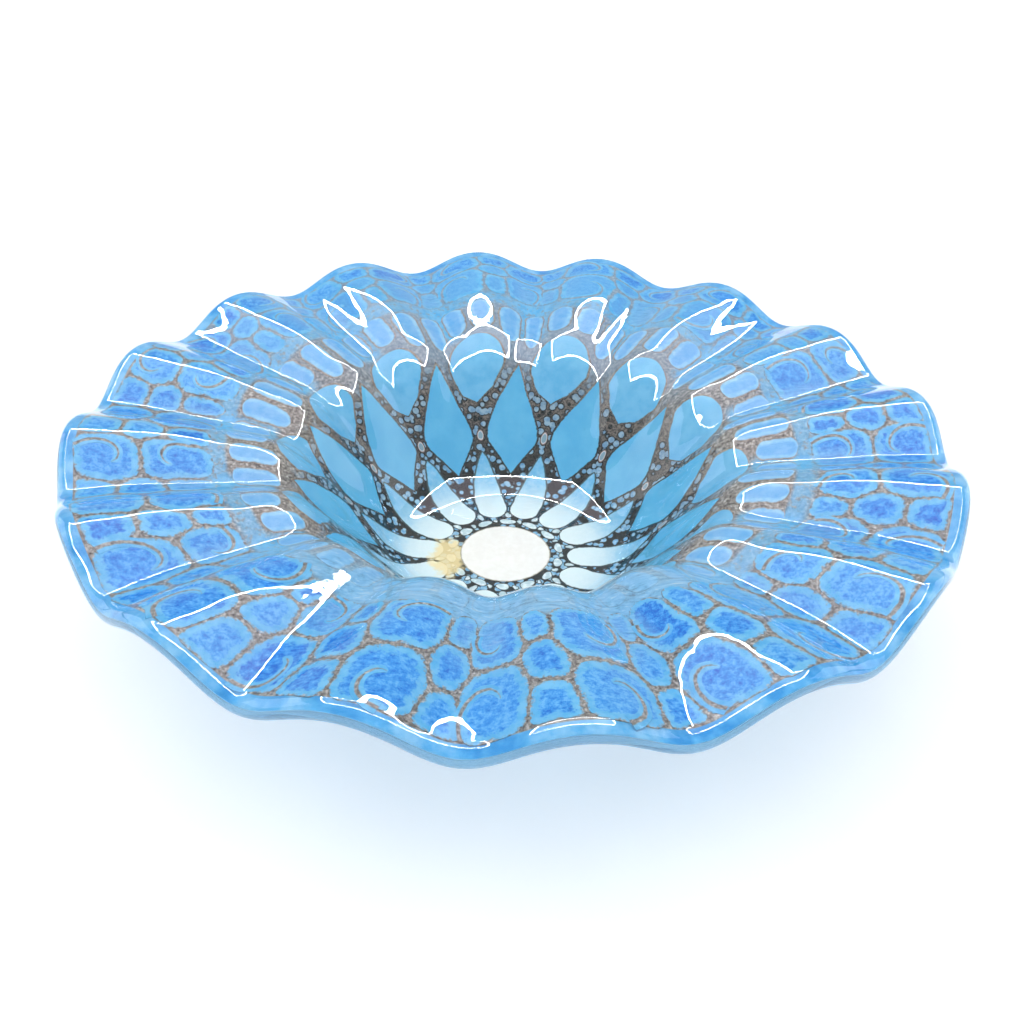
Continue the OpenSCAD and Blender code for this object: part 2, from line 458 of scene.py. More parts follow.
def blob(r, turn, reaches, rng, layer, tall=1.0):
    """A flat round patch whose border lies at the given reaches from its middle, all the way round."""
    rows = []
    for i in range(BLOB_RINGS):
        row = []
        for j, reach in enumerate(reaches):
            a = FULL_TURN * j / len(reaches)
            far = reach * (1 - i / BLOB_RINGS)
            x = r + far * math.cos(a) * tall
            y = far * math.sin(a)
            row.append((math.hypot(x, y), turn + math.atan2(y, x), reach * i / BLOB_RINGS))
        rows.append(row)
    return rows, layer, True, rng.random()


def drop(r, turn, radius, rng, layer, rough, tall=1.0):
    """A flat drop of enamel with its middle at radius r."""
    phases = [rng.uniform(*ANY_PHASE) for _ in range(2)]
    reaches = []
    for j in range(DROP_RAYS):
        a = FULL_TURN * j / DROP_RAYS
        swell = math.sin(2 * a + phases[0]) + 0.6 * math.sin(3 * a + phases[1])
        reaches.append(radius * (1 + rough * swell))
    return blob(r, turn, reaches, rng, layer, tall)


# ------------------------------------------------------------------ the rosette in the well


def petal_half(t):
    if t < PETAL_ROUND:
        return PETAL_HALF * math.sqrt(1 - (1 - t / PETAL_ROUND) ** 2)
    return PETAL_HALF * (1 - ((t - PETAL_ROUND) / (1 - PETAL_ROUND)) ** 3) ** 0.7


def line_share(r):
    """The share of a sector between a crossing and the lattice line, at a radius."""
    if r < CROSSING_R:
        return 0.5 * min(1.0, (CROSSING_R - r) / (CROSSING_R - LOWER_CROSSING)) ** LINE_BOW
    return 0.5 * min(1.0, (r - CROSSING_R) / (UPPER_CROSSING - CROSSING_R)) ** LINE_BOW


def diamond_half(t):
    r = DIAMOND_FOOT + (DIAMOND_TIP - DIAMOND_FOOT) * t
    return max(0.0, min((0.5 - line_share(r)) * SECTOR * r - LINE_HALF, DIAMOND_HALF))


def arch_half(t):
    r = ARCH_V + (ARCH_HEAD - ARCH_V) * t
    if r < ARCH_FOOT:
        return min(line_share(r) * SECTOR * r - LINE_HALF, ARCH_FLARE * (r - ARCH_V))
    wide = line_share(ARCH_FOOT) * SECTOR * ARCH_FOOT - LINE_HALF
    rise = (r - ARCH_FOOT) / (ARCH_HEAD - ARCH_FOOT)
    return wide * math.sqrt(max(0.0, 1 - rise ** ARCH_ROUND))


def lay_petals():
    rng = random.Random(11)
    return closed_slab([pane(k * SECTOR, PETAL_FOOT, PETAL_TIP, petal_half, rng) for k in range(PETALS)],
                       "petals")


def lay_diamonds():
    rng = random.Random(12)
    return closed_slab([pane((k + 0.5) * SECTOR, DIAMOND_FOOT, DIAMOND_TIP, diamond_half, rng)
                        for k in range(PETALS)], "diamonds")


def lay_arches():
    rng = random.Random(13)
    return closed_slab([pane(k * SECTOR, ARCH_V, ARCH_HEAD, arch_half, rng, rows=40, cols=16)
                        for k in range(PETALS)], "arches")


def arch_at(turn):
    """Radius of the line over an arch, at a turn away from the arch's middle."""
    x = turn / (SECTOR / 2)
    return ARCH_TOP - (ARCH_TOP - ARCH_FOOT) * x * x


def bar_end(turn):
    """Radius at which the bars end, at any turn."""
    x = (turn / SECTOR + 0.5) % 1.0 * 2 - 1
    return BAR_END - BAR_FALL * x * x


def bar_half(foot, head):
    def half(t):
        r = foot + (head - foot) * t
        return (SECTOR / BARS * r / 2 - BAR_APART) * (1 - abs(2 * t - 1) ** 6) ** 0.5
    return half


def lay_bars():
    rng = random.Random(14)
    patches = []
    for k in range(PETALS):
        for b in range(BARS):
            off = (b + 0.5) * (SECTOR / BARS) - SECTOR / 2
            foot = arch_at(off) + BAR_FOOT + rng.uniform(-0.3, 0.3)
            head = bar_end(off) + rng.uniform(-0.4, 0.2)
            patches.append(pane(k * SECTOR + off, foot, head, bar_half(foot, head), rng, rows=18, cols=8))
    return closed_slab(patches, "bars")


def lay_disc():
    return closed_slab([drop(0.0, 0.0, DISC_R, random.Random(1), ENAMEL, rough=0.008)], "opal_disc")


def lay_pebbles():
    """Between each two petals a pebble and a longer drop beyond it, and a bead before each petal."""
    rng = random.Random(5)
    patches = []
    for k in range(PETALS):
        between = (k + 0.5) * SECTOR
        r = DISC_R + PEBBLES_OUT + rng.uniform(-0.2, 0.2)
        size = PEBBLE_R * rng.uniform(0.9, 1.1)
        patches.append(drop(r, between, size, rng, ENAMEL, rough=0.1, tall=0.6))
        size = rng.uniform(0.7, 1.0)
        patches.append(drop(r + BEADS_OUT, k * SECTOR, size, rng, ENAMEL, rough=0.15, tall=1.1))
        size = rng.uniform(0.9, 1.2)
        patches.append(drop(r + DROPS_OUT, between, size, rng, ENAMEL, rough=0.12, tall=1.5))
    return closed_slab(patches, "pebbles")


def lay_bubbles():
    """An oval bubble over each crossing of the lattice."""
    rng = random.Random(6)
    patches = []
    for k in range(PETALS):
        r = CROSSING_R + rng.uniform(-0.4, 0.4)
        size = rng.uniform(1.15, 1.35)
        patches.append(drop(r, k * SECTOR, size, rng, OVERLAY, rough=0.04, tall=1.15))
    return closed_slab(patches, "crossing_bubbles")


def lay_ground():
    """The ground of frit under the panes, which follows the bowl all the way round and out to the rim."""
    radii = steps(0.05, PATTERN_END, GROUND_RINGS)
    points = []
    marks = {"span": [], "ridge": [], "under": []}
    for depth in reversed(GROUND):
        for r in radii:
            for j in range(GROUND_COLS):
                turn = FULL_TURN * j / GROUND_COLS
                points.append(on_bowl(r, turn, depth))
                marks["span"].append(r)
                marks["ridge"].append(crest_at(turn + PETAL_TURN - FLUTE_TURN))
                marks["under"].append(1.0 if depth == GROUND[0] else 0.0)
    under = len(radii) * GROUND_COLS
    top = woven(len(radii), GROUND_COLS, True)
    faces = top + turned(top, under)
    rim = under - GROUND_COLS
    for j in range(GROUND_COLS):
        n = (j + 1) % GROUND_COLS
        faces.append((j, n, under + n, under + j))
        faces.append((rim + n, rim + j, under + rim + j, under + rim + n))
    return make_piece("frit_ground", points, faces, marks)


# ------------------------------------------------------------------ the cells of the flange

# where the cells lie in a sector: share of the sector, radius, how far they crowd out their neighbours,
# and the turn at which a curl enters
CELL_PLAN = [
    (0.00, 88.8, 3.6, 2.4),
    (0.50, 89.6, 1.2, -2.6),
    (0.26, 86.6, -0.9, None),
    (0.27, 96.2, -0.7, None),
    (-0.26, 87.4, -0.9, None),
    (-0.25, 96.8, -0.7, None),
    (0.02, 104.2, 2.6, 0.3),
    (0.50, 103.6, 1.6, -0.5),
    (0.27, 107.2, -0.6, None),
    (-0.25, 107.6, -0.6, None),
]
CELL_GAP = 0.5
CELL_RAYS = 40
CELL_REACH = 16.0
CELL_SQUASH = 0.8
NEIGHBOURS_WITHIN = 26.0
CURL_STEPS = 26
CURL_COLS = 8
CURL_TURN = 3.6
CURL_SIZE = 0.62
CURL_HALF = 1.45

Seed = namedtuple("Seed", "turn r weight curl")


def cells_foot(turn):
    return CELLS_FOOT + 1.5 * math.sin(3 * turn) + 0.9 * math.sin(11 * turn)


def cells_end(turn):
    return CELLS_END + 0.5 * math.sin(23 * turn)


def seed_cells():
    """The middles of all the cells, each a little off its place in the plan."""
    rng = random.Random(21)
    seeds = []
    for k in range(PETALS):
        for share, r, weight, curl in CELL_PLAN:
            turn = (k + share) * SECTOR + rng.uniform(-0.9, 0.9) / r
            r += rng.uniform(-0.8, 0.8)
            weight += rng.uniform(-0.5, 0.5)
            seeds.append(Seed(turn, r, weight, curl))
    return seeds


def away(seed, turn, r):
    """How far a place is from a seed. A heavier seed counts as nearer."""
    aside = (turn - seed.turn + math.pi) % FULL_TURN - math.pi
    return math.hypot(aside * (r + seed.r) / 2, CELL_SQUASH * (r - seed.r)) - seed.weight


def grow(seed, seeds):
    """How far a cell reaches, all the way round, before it meets a neighbour or the end of the band."""
    near = []
    for other in seeds:
        if other is not seed and away(other, seed.turn, seed.r) < NEIGHBOURS_WITHIN:
            near.append(other)
    reaches = []
    for j in range(CELL_RAYS):
        a = FULL_TURN * j / CELL_RAYS
        low = 0.0
        high = CELL_REACH
        for _ in range(9):
            middle = (low + high) / 2
            r = seed.r + middle * math.cos(a)
            turn = seed.turn + middle * math.sin(a) / r
            crowded = min(away(other, turn, r) for other in near) < away(seed, turn, r) + CELL_GAP
            if crowded or not cells_foot(turn) < r < cells_end(turn):
                high = middle
            else:
                low = middle
        reaches.append(low)
    for _ in range(3):
        before = reaches[-1:] + reaches[:-1]
        after = reaches[1:] + reaches[:1]
        reaches = [min(b, (a + 2 * b + c) / 4) for a, b, c in zip(before, reaches, after)]
    return reaches


def lay_cells(cells):
    rng = random.Random(22)
    return closed_slab([blob(seed.r, seed.turn, reaches, rng, ENAMEL) for seed, reaches in cells],
                       "rim_cells")


def curl_path(enters, hand, reaches):
    """The middle line of a curl, from the border of its cell in."""
    far = reaches[int(enters / FULL_TURN * CELL_RAYS) % CELL_RAYS]
    size = min(reaches)
    path = []
    for s in steps(0, 1, CURL_STEPS):
        a = enters + hand * CURL_TURN * s ** 1.2
        reach = far * (1 - s) ** 2 + size * CURL_SIZE * (1 - (1 - s) ** 2) * (1 - 0.55 * s)
        path.append((reach * math.sin(a), reach * math.cos(a)))
    return path


def ribbon(path, r, turn):
    """The rows of a ribbon that follows a path about radius r and a turn, and narrows to its end."""
    rows = []
    for i, (x, y) in enumerate(path):
        before = path[max(0, i - 1)]
        after = path[min(len(path) - 1, i + 1)]
        run = Vector((after[0] - before[0], after[1] - before[1])).normalized()
        s = i / (len(path) - 1)
        half = CURL_HALF * (1 - 0.5 * s) * min(1.0, (1.02 - s) * 6) ** 0.5
        row = []
        for c in steps(-1, 1, CURL_COLS):
            aside = x - run.y * half * c
            up = y + run.x * half * c
            row.append((r + up, turn + aside / r, abs(c) * half + 0.5 * s * s))
        rows.append(row)
    return rows


def lay_curls(cells):
    """A ribbon that enters each larger cell from its border and curls in."""
    rng = random.Random(23)
    patches = []
    for seed, reaches in cells:
        if seed.curl is None:
            continue
        hand = rng.choice((-1, 1))
        path = curl_path(seed.curl + rng.uniform(-0.4, 0.4), hand, reaches)
        patches.append((ribbon(path, seed.r, seed.turn), OVERLAY, False, rng.random()))
    return closed_slab(patches, "curls")


# ------------------------------------------------------------------ finishes

# radii over which one finish gives way to the next, in millimetres
PETALS_PALE = (19.0, 41.0)
BUBBLES_GREY = (30.0, 60.0)
FRIT_BROWN = (34.0, 58.0)
LINES_BROWN = (48.0, 64.0)
BUBBLES_END = (54.0, 62.0)
DIPS_START = (64.0, 67.0)
DIPS_END = (79.0, 84.0)
VALLEYS_END = (88.0, 100.0)
CELLS_GLARE_FADES = (99.0, 105.0)
RINGS_START = (58.0, 66.0)
RINGS_END = (74.0, 82.0)


def tint(code):
    """A colour as written in a paint list, in Blender's linear light."""
    parts = [int(code[k:k + 2], 16) / 255 for k in (1, 3, 5)]
    return [p / 12.92 if p <= 0.04045 else ((p + 0.055) / 1.055) ** 2.4 for p in parts] + [1.0]


class Wire:
    """A socket that can be added, subtracted and multiplied like a number."""

    def __init__(self, finish, socket):
        self.finish = finish
        self.socket = socket

    def __add__(self, other):
        return self.finish.sum("ADD", self, other)

    def __radd__(self, other):
        return self.finish.sum("ADD", other, self)

    def __sub__(self, other):
        return self.finish.sum("SUBTRACT", self, other)

    def __rsub__(self, other):
        return self.finish.sum("SUBTRACT", other, self)

    def __mul__(self, other):
        return self.finish.sum("MULTIPLY", self, other)

    def __rmul__(self, other):
        return self.finish.sum("MULTIPLY", other, self)


class Finish:
    """The nodes of one material, or of the world."""

    def __init__(self, owner, end="ShaderNodeOutputMaterial"):
        owner.use_nodes = True
        self.owner = owner
        self.tree = owner.node_tree
        self.tree.nodes.clear()
        self.end = self.tree.nodes.new(end)

    def node(self, kind, settings, sockets, output=0):
        """A node of a kind with its settings, and its sockets joined to wires or set to values."""
        made = self.tree.nodes.new(kind)
        for key, value in settings.items():
            if key == "stops":
                ramp = made.color_ramp
                while len(ramp.elements) < len(value):
                    ramp.elements.new(0.5)
                for stop, (place, code) in zip(ramp.elements, value):
                    stop.position = place
                    stop.color = tint(code)
            else:
                setattr(made, key, value)
        for key, value in sockets.items():
            if isinstance(value, Wire):
                self.tree.links.new(value.socket, made.inputs[key])
            else:
                made.inputs[key].default_value = tint(value) if isinstance(value, str) else value
        return Wire(self, made.outputs[output])

    def show(self, shader):
        """Ends the nodes with a shader."""
        self.tree.links.new(shader.socket, self.end.inputs["Surface"])
        return self.owner

    def sum(self, kind, first, second):
        return self.node("ShaderNodeMath", {"operation": kind}, {0: first, 1: second})

    def vector(self, kind, first, second):
        return self.node("ShaderNodeVectorMath", {"operation": kind}, {0: first, 1: second})

    def scaled(self, where, scale):
        return self.node("ShaderNodeVectorMath", {"operation": "SCALE"}, {0: where, "Scale": scale})

    def length(self, where):
        return self.node("ShaderNodeVectorMath", {"operation": "LENGTH"}, {0: where}, "Value")

    def mark(self, name):
        return self.node("ShaderNodeAttribute", {"attribute_name": name}, {}, "Fac")

    def ray(self, kind):
        return self.node("ShaderNodeLightPath", {}, {}, kind)

    def place(self):
        """Where a point is on the piece, in millimetres."""
        return self.scaled(self.node("ShaderNodeTexCoord", {}, {}, "Object"), 1 / MM)

    def rearward(self):
        """How far a point is towards the back, in millimetres."""
        return self.node("ShaderNodeSeparateXYZ", {}, {0: self.place()}, "Y")

    def bent_place(self, size, push):
        """Place in millimetres, pushed about by noise so that nothing runs straight."""
        where = self.place()
        noise = self.node("ShaderNodeTexNoise", {},
                          {"Vector": where, "Scale": 1 / size, "Detail": 2.0}, "Color")
        aside = self.scaled(self.vector("SUBTRACT", noise, (0.5, 0.5, 0.5)), push)
        return self.vector("ADD", where, aside)

    def band(self, value, low, high, start=0.0, end=1.0):
        """Rises smoothly from start to end while value goes from low to high."""
        return self.node("ShaderNodeMapRange", {"interpolation_type": "SMOOTHSTEP"},
                         {"Value": value, "From Min": low, "From Max": high, "To Min": start, "To Max": end})

    def fade(self, value, low, high):
        """Falls smoothly from 1 to 0 while value goes from low to high."""
        return self.band(value, low, high, 1.0, 0.0)

    def blend(self, share, first, second):
        """Two colours mixed: the first at share 0, the second at 1."""
        return self.node("ShaderNodeMix", {"data_type": "RGBA"}, {"Factor": share, 6: first, 7: second}, 2)

    def ramp(self, value, *stops):
        """Colours at their places along a value."""
        return self.node("ShaderNodeValToRGB", {"stops": stops}, {"Fac": value}, "Color")

    def either(self, share, first, second):
        """Two shaders mixed."""
        return self.node("ShaderNodeMixShader", {}, {0: share, 1: first, 2: second})

    def cloud(self, size, detail=3.0, rough=0.55, where=None):
        """Soft noise in 0..1 with features of a size in millimetres."""
        return self.node("ShaderNodeTexNoise", {},
                         {"Vector": where or self.place(), "Scale": 1 / size, "Detail": detail,
                          "Roughness": rough}, "Fac")

    def drift(self, size, far, detail=3.0, rough=0.55):
        """Soft noise about 0, to push a border to and fro."""
        return (self.cloud(size, detail, rough) - 0.5) * far

    def mottle(self, first, second, noise, low=0.3, high=0.7):
        """Two colours in soft patches."""
        return self.blend(self.band(noise, low, high), first, second)

    def beads(self, size, where=None):
        """Distance from the nearest of many scattered spots, as a share of their size."""
        return self.node("ShaderNodeTexVoronoi", {"feature": "F1"},
                         {"Vector": where or self.place(), "Scale": 1 / size}, "Distance")


def paint(name):
    return Finish(bpy.data.materials.new(name))


def enamel(f, colour):
    """Enamel has no shine of its own, because the glass lies over it."""
    return f.show(f.node("ShaderNodeBsdfPrincipled", {},
                         {"Base Color": colour, "Roughness": 0.45, "Specular IOR Level": 0.0}))


def stained(f, colour):
    """Amber seeps into the enamel at the left of the disc."""
    apart = f.vector("MULTIPLY", f.vector("SUBTRACT", f.place(), stain_at), (1.0, 0.62, 1.0))
    away = f.length(apart) + f.drift(3.0, 8.0)
    return f.blend(f.band(away, 3.5, 6.5, 0.85, 0.0), colour, "#F3DDA4")


def outline_of(f, span):
    """The line round a pane: dark in the well, brown and speckled towards the lip."""
    grain = f.band(f.cloud(0.5, 3.0, 0.7), 0.35, 0.65)
    dark = f.blend(grain, "#22282A", "#545452")
    brown = f.blend(grain, "#6A5C53", "#C0AC9C")
    return f.blend(f.band(span, *LINES_BROWN), dark, brown)


def sky_halo(f):
    return f.mottle("#56ACDA", "#78BEE0", f.cloud(2.4))


def open_sky(f):
    """Sky blue glass with a few grey specks, where the rows of panes lie apart."""
    return f.mottle(sky_halo(f), "#8E9AA2", f.cloud(1.6, 4.0, 0.7), 0.52, 0.64)


def painted_back_glare(f):
    """Rises towards the back of the bowl: painted glare, which makes the pattern paler there as if more
    light fell on it.
    """
    return f.band(f.rearward(), 15.0, 75.0)


def painted_front_haze(f):
    """Rises over the front of the lip, where the pattern is drawn out into streaks and made pale grey blue
    as a painted haze of reflected glare.
    """
    return f.band(f.rearward() + f.drift(6.0, 14.0), -62.0, -40.0, 0.85, 0.0)


def valley(f):
    """Rises in the valleys of the flutes, on the inner half of the flange."""
    return f.fade(f.mark("ridge"), 0.1, 0.5) * f.fade(f.mark("span"), *VALLEYS_END)


def drawn_streaks(f):
    """Grey blue streaks drawn out from side to side."""
    drawn = f.vector("MULTIPLY", f.bent_place(14.0, 5.0), (0.1, 1.1, 1.1))
    return f.ramp(f.cloud(1.0, 4.0, 0.7, where=drawn),
                  (0.3, "#5F7F96"), (0.42, "#78ADCF"), (0.58, "#8DBFDC"), (0.7, "#BCD3DC"))


def speckled_line(f):
    line = f.ramp(f.cloud(0.9, 5.0, 0.8),
                  (0.34, "#2C2A2A"), (0.45, "#7C736D"), (0.55, "#A39A92"), (0.66, "#E6DCD2"))
    # painted glare: towards the back of the bowl the lines are made paler grey blue
    return f.blend(painted_back_glare(f) * 0.6, line, "#8BA8C0")


def petal_enamel():
    f = paint("ice_blue_petal")
    span = f.mark("span") + f.drift(4.0, 4.0)
    body = f.ramp(f.band(span, *PETALS_PALE),
                  (0.0, "#E3F0F1"), (0.4, "#D2E6EC"), (0.7, "#A2D0E4"), (1.0, "#72BCE0"))
    streak = f.band(f.cloud(1.6, 5.0, 0.7), 0.35, 0.75)
    body = f.blend(streak * 0.25, body, "#F2FAFB")
    edge = f.mark("edge") + f.drift(0.8, 0.5)
    outline = f.blend(f.band(span, 22.0, 38.0), "#26373A", "#4A5C60")
    return enamel(f, stained(f, f.blend(f.band(edge, 0.3, 0.65), outline, body)))


def diamond_enamel():
    f = paint("sky_blue_diamond")
    body = f.mottle("#5EB3DC", "#6DBEE1", f.cloud(8.0, 4.0, 0.6))
    body = f.blend(f.band(f.beads(2.6), 0.0, 0.09, 0.7, 0.0), body, "#2F6F97")
    edge = f.mark("edge") + f.drift(1.0, 0.6)
    return enamel(f, f.blend(f.band(edge, 0.4, 0.75), outline_of(f, f.mark("span")), body))


def arch_enamel():
    f = paint("sky_blue_arch")
    span = f.mark("span")
    body = f.mottle("#60B0DA", "#7ABFE1", f.cloud(5.0, 4.0, 0.6))
    body = f.blend(f.band(span, 52.0, 68.0, 0.0, 0.3), body, "#98CEE6")
    edge = f.mark("edge") + f.drift(1.0, 0.6)
    return enamel(f, f.blend(f.band(edge, 0.4, 0.8), outline_of(f, span), body))


def bar_enamel():
    f = paint("pale_bar")
    body = f.mottle("#78B8E0", "#9FCBE4", f.cloud(2.5, 4.0, 0.6))
    edge = f.mark("edge") + f.drift(0.9, 0.7)
    body = f.blend(f.band(edge, 1.1, 1.9, 0.0, 0.5), body, "#559FDC")
    body = f.blend(f.band(edge, 0.1, 0.7), outline_of(f, f.mark("span")), body)
    # painted haze: over the front of the lip the bars give way to pale grey blue streaks
    return enamel(f, f.blend(painted_front_haze(f), body, drawn_streaks(f)))


def opal_enamel():
    f = paint("opal_white")
    body = f.mottle("#F4F0EA", "#FAF7F2", f.cloud(2.2, 5.0, 0.6), high=0.75)
    edge = f.mark("edge") + f.drift(1.5, 0.6)
    return enamel(f, f.blend(f.band(edge, 0.05, 0.5), "#A9A18F", body))


def pebble_enamel():
    f = paint("pebble_white")
    body = f.mottle("#B9D0D6", "#E6F0F2", f.cloud(1.2), low=0.35)
    edge = f.mark("edge") + f.drift(0.8, 0.3)
    return enamel(f, stained(f, f.blend(f.band(edge, 0.1, 0.45), "#2E3B3E", body)))


def bubble_enamel():
    f = paint("bubble_rim_painted_glint")
    edge = f.mark("edge") + f.drift(0.6, 0.15)
    # painted highlight: the near-white ring inside each bubble's dark rim stands in for a glint of light on
    # it
    return enamel(f, f.ramp(f.band(edge, 0.0, 1.0),
                            (0.0, "#2C2E30"), (0.3, "#B79C92"), (0.45, "#F1E9E6"), (0.62, "#8FA9B4")))


def well_frit(f, span):
    """Strings of pale bubbles in dark frit, browner towards the lip."""
    bubble = f.beads(2.3, f.bent_place(1.5, 0.5))
    inside = f.mottle("#68A4CC", "#A9CDE0", f.cloud(1.4), 0.35, 0.65)
    inside = f.blend(f.band(span, *BUBBLES_GREY, 0.0, 0.45), inside, "#8C7F78")
    wall = f.mottle("#1B2021", "#4A4744", f.cloud(0.6), 0.4, 0.62)
    between = f.blend(f.band(span, *FRIT_BROWN), "#34383A", "#8F8177")
    between = f.blend(f.band(f.cloud(0.6, 4.0, 0.7), 0.4, 0.6, 0.0, 0.8), between, "#232526")
    wall = f.blend(f.band(bubble, 0.54, 0.64), wall, between)
    return f.blend(f.band(bubble, 0.38, 0.48), inside, wall)


def flange_frit(f, span):
    """Speckled brown lines, with sky blue glass where the flutes dip and where the rows lie apart."""
    dips = f.band(f.mark("ridge"), 0.1, 0.55, 0.9, 0.0)
    dips = dips * f.band(span, *DIPS_START) * f.fade(span, *DIPS_END)
    line = f.blend(dips, speckled_line(f), open_sky(f))
    apart = f.band(span, BAR_END - 1.5, BAR_END) * f.fade(span, CELLS_FOOT, CELLS_FOOT + 3.0)
    line = f.blend(apart * 0.7, line, open_sky(f))
    # painted haze: over the front of the lip the frit lines give way to pale grey blue streaks
    return f.blend(painted_front_haze(f) * f.fade(span, 80.0, 84.0), line, drawn_streaks(f))


def frit_enamel():
    """The ground between the panes, and the plain blue border beyond them, whose underside is painted paler
    as if lit through the glass edge.
    """
    f = paint("speckled_frit")
    span = f.mark("span")
    body = stained(f, f.blend(f.band(span, *BUBBLES_END), well_frit(f, span), flange_frit(f, span)))
    border = f.ramp(f.cloud(6.0, 4.0), (0.36, "#3E92CE"), (0.5, "#5AA9DA"), (0.66, "#88C0E2"))
    # painted light: the underside of the ground is a paler blue than its top, for light shining through the
    # glass edge
    pale = f.blend(f.mark("under"), border, "#9AD0F0")
    outside = f.band(f.mark("under") + f.band(span, CELLS_END - 0.3, CELLS_END + 0.5), 0.4, 0.6)
    return enamel(f, f.blend(outside, body, pale))


def cell_enamel():
    """Deep blue with grains in the middle, and a paler border."""
    f = paint("deep_blue_cells")
    grain = f.cloud(1.5, 6.0, 0.85) + (f.mark("tone") - 0.5) * 0.1
    core = f.ramp(grain, (0.38, "#1C68C8"), (0.5, "#3C96DC"), (0.62, "#72B8E4"))
    # painted glare: towards the back of the bowl the cores of the inner cells are made paler
    pale = painted_back_glare(f) * f.band(f.mark("span"), *CELLS_GLARE_FADES, 0.7, 0.1)
    core = f.blend(pale, core, "#66ABD8")
    edge = f.mark("edge") + f.drift(1.6, 5.0, 6.0, 0.75)
    body = f.blend(f.band(edge, 1.5, 2.1), sky_halo(f), core)
    body = f.blend(valley(f) * 0.5, body, drawn_streaks(f))
    line = f.mark("edge") + f.drift(2.2, 5.5, 6.0, 0.9)
    return enamel(f, f.blend(f.band(line, 0.0, 0.35), speckled_line(f), body))


def curl_enamel():
    f = paint("curl_line")
    aside = f.mark("edge") + f.drift(1.0, 0.5)
    return enamel(f, f.blend(f.band(aside, 0.3, 0.6), speckled_line(f), sky_halo(f)))


def bowl_glass():
    """Clear glass with a faint ripple, drawn into rings over the lip, which lets lamplight through."""
    f = paint("pale_blue_glass")
    flat = f.vector("MULTIPLY", f.place(), (1.0, 1.0, 0.0))
    out = f.length(flat)
    drawn = f.vector("ADD", f.node("ShaderNodeCombineXYZ", {}, {"X": out * 1.4}), f.scaled(flat, 0.06))
    streak = f.cloud(1.0, 3.0, 0.6, where=drawn)
    streak = streak * f.band(out, *RINGS_START) * f.fade(out, *RINGS_END)
    ripple = f.cloud(9.0, 2.0, 0.5) + streak * 0.12
    bump = f.node("ShaderNodeBump", {}, {"Strength": 0.15, "Distance": 0.0003, "Height": ripple})
    clear = f.node("ShaderNodeBsdfPrincipled", {},
                   {"Base Color": "#F7FBFD", "Roughness": 0.01, "IOR": GLASS_BENDS_LIGHT,
                    "Transmission Weight": 1.0, "Normal": bump})
    through = f.node("ShaderNodeBsdfTransparent", {}, {"Color": "#FAFDFE"})
    return f.show(f.either(f.ray("Is Shadow Ray"), clear, through))


def floor_paint():
    """White card that keeps the shadow, and shows as a white background."""
    f = paint("white_floor")
    white = f.mottle("#FBFBFB", "#FFFFFF", f.cloud(40.0), 0.2, 0.8)

    def card(glow):
        return f.node("ShaderNodeBsdfPrincipled", {},
                      {"Base Color": white, "Roughness": 0.9, "Specular IOR Level": 0.0,
                       "Emission Color": white, "Emission Strength": glow})

    seen = f.either(f.ray("Is Camera Ray"), card(0.0), card(0.42))
    return f.show(f.either(f.ray("Is Glossy Ray") + f.ray("Is Transmission Ray"), seen, card(0.75)))


# ------------------------------------------------------------------ putting it together


def settle(piece, material, replaces=()):
    piece.data.materials.append(material)
    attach(piece, "root")
    if replaces:
        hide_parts(*replaces)
    return piece


glass = settle(blow_glass(), bowl_glass(), ("base_glass", "cover_glass"))
ground = lay_ground()
glass_tree = tree_of(glass)
ground_tree = tree_of(ground)
stain_at = sealed_under(POINTS["amber stain"]) / MM
settle(ground, frit_enamel())
disc = settle(lay_disc(), opal_enamel(), ("centre_disc",))
settle(lay_pebbles(), pebble_enamel(), ("pebble_ring",))
petals = settle(lay_petals(), petal_enamel(), ("petal_panes",))
settle(lay_diamonds(), diamond_enamel(), ("diamond_panes",))
settle(lay_arches(), arch_enamel(), ("arch_panes",))
settle(lay_bars(), bar_enamel(), ("bar_panes",))
seeds = seed_cells()
cells = [(seed, grow(seed, seeds)) for seed in seeds]
settle(lay_cells(cells), cell_enamel(), ("rim_panes",))
settle(lay_curls(cells), curl_enamel())
bubbles = settle(lay_bubbles(), bubble_enamel())

# ------------------------------------------------------------------ the studio, in metres

FLOOR_SIDE = 12.0
FLOOR_COLS = 24
WINDOW_HIGH = 0.62
WINDOW_HALF = 0.42
WINDOW_NEAR = -0.08
WINDOW_FAR = 0.56
STRIP_GLARE = 66.0
STRIP_WIDE_NEAR = 0.03
STRIP_WIDE_FAR = 0.022
STRIP_WIDE_SIDE = 0.02
GLOW_GLARE = 1.6
GLOW_COLOUR = (1.0, 0.8, 0.9)
SKY_GLARE = 1.07
SKY_SPREAD = math.radians(60)
SKY_TURN = (math.radians(12), math.radians(-6), 0)
CARD_OUT = 1.2
CARD_LONG = 1.2
CARD_WIDE = 0.8
CARD_GLARE = 1.4

# how bright the world is to each kind of ray: to all, and then to some in turn
WORLD_GLOW = ((None, 0.4), ("Is Camera Ray", 1.0), ("Is Glossy Ray", 0.6), ("Is Transmission Ray", 0.6))


def add_floor():
    across = steps(-FLOOR_SIDE / 2, FLOOR_SIDE / 2, FLOOR_COLS)
    floor = make_piece("floor", [(x, y, 0.0) for x in across for y in across],
                       woven(len(across), len(across), False))
    floor.data.materials.append(floor_paint())


def add_lamp(data, turn, place=(0, 0, 0)):
    lamp = bpy.data.objects.new(data.name, data)
    lamp.location = place
    lamp.rotation_euler = turn
    lamp.visible_transmission = False
    bpy.context.scene.collection.objects.link(lamp)
    return lamp


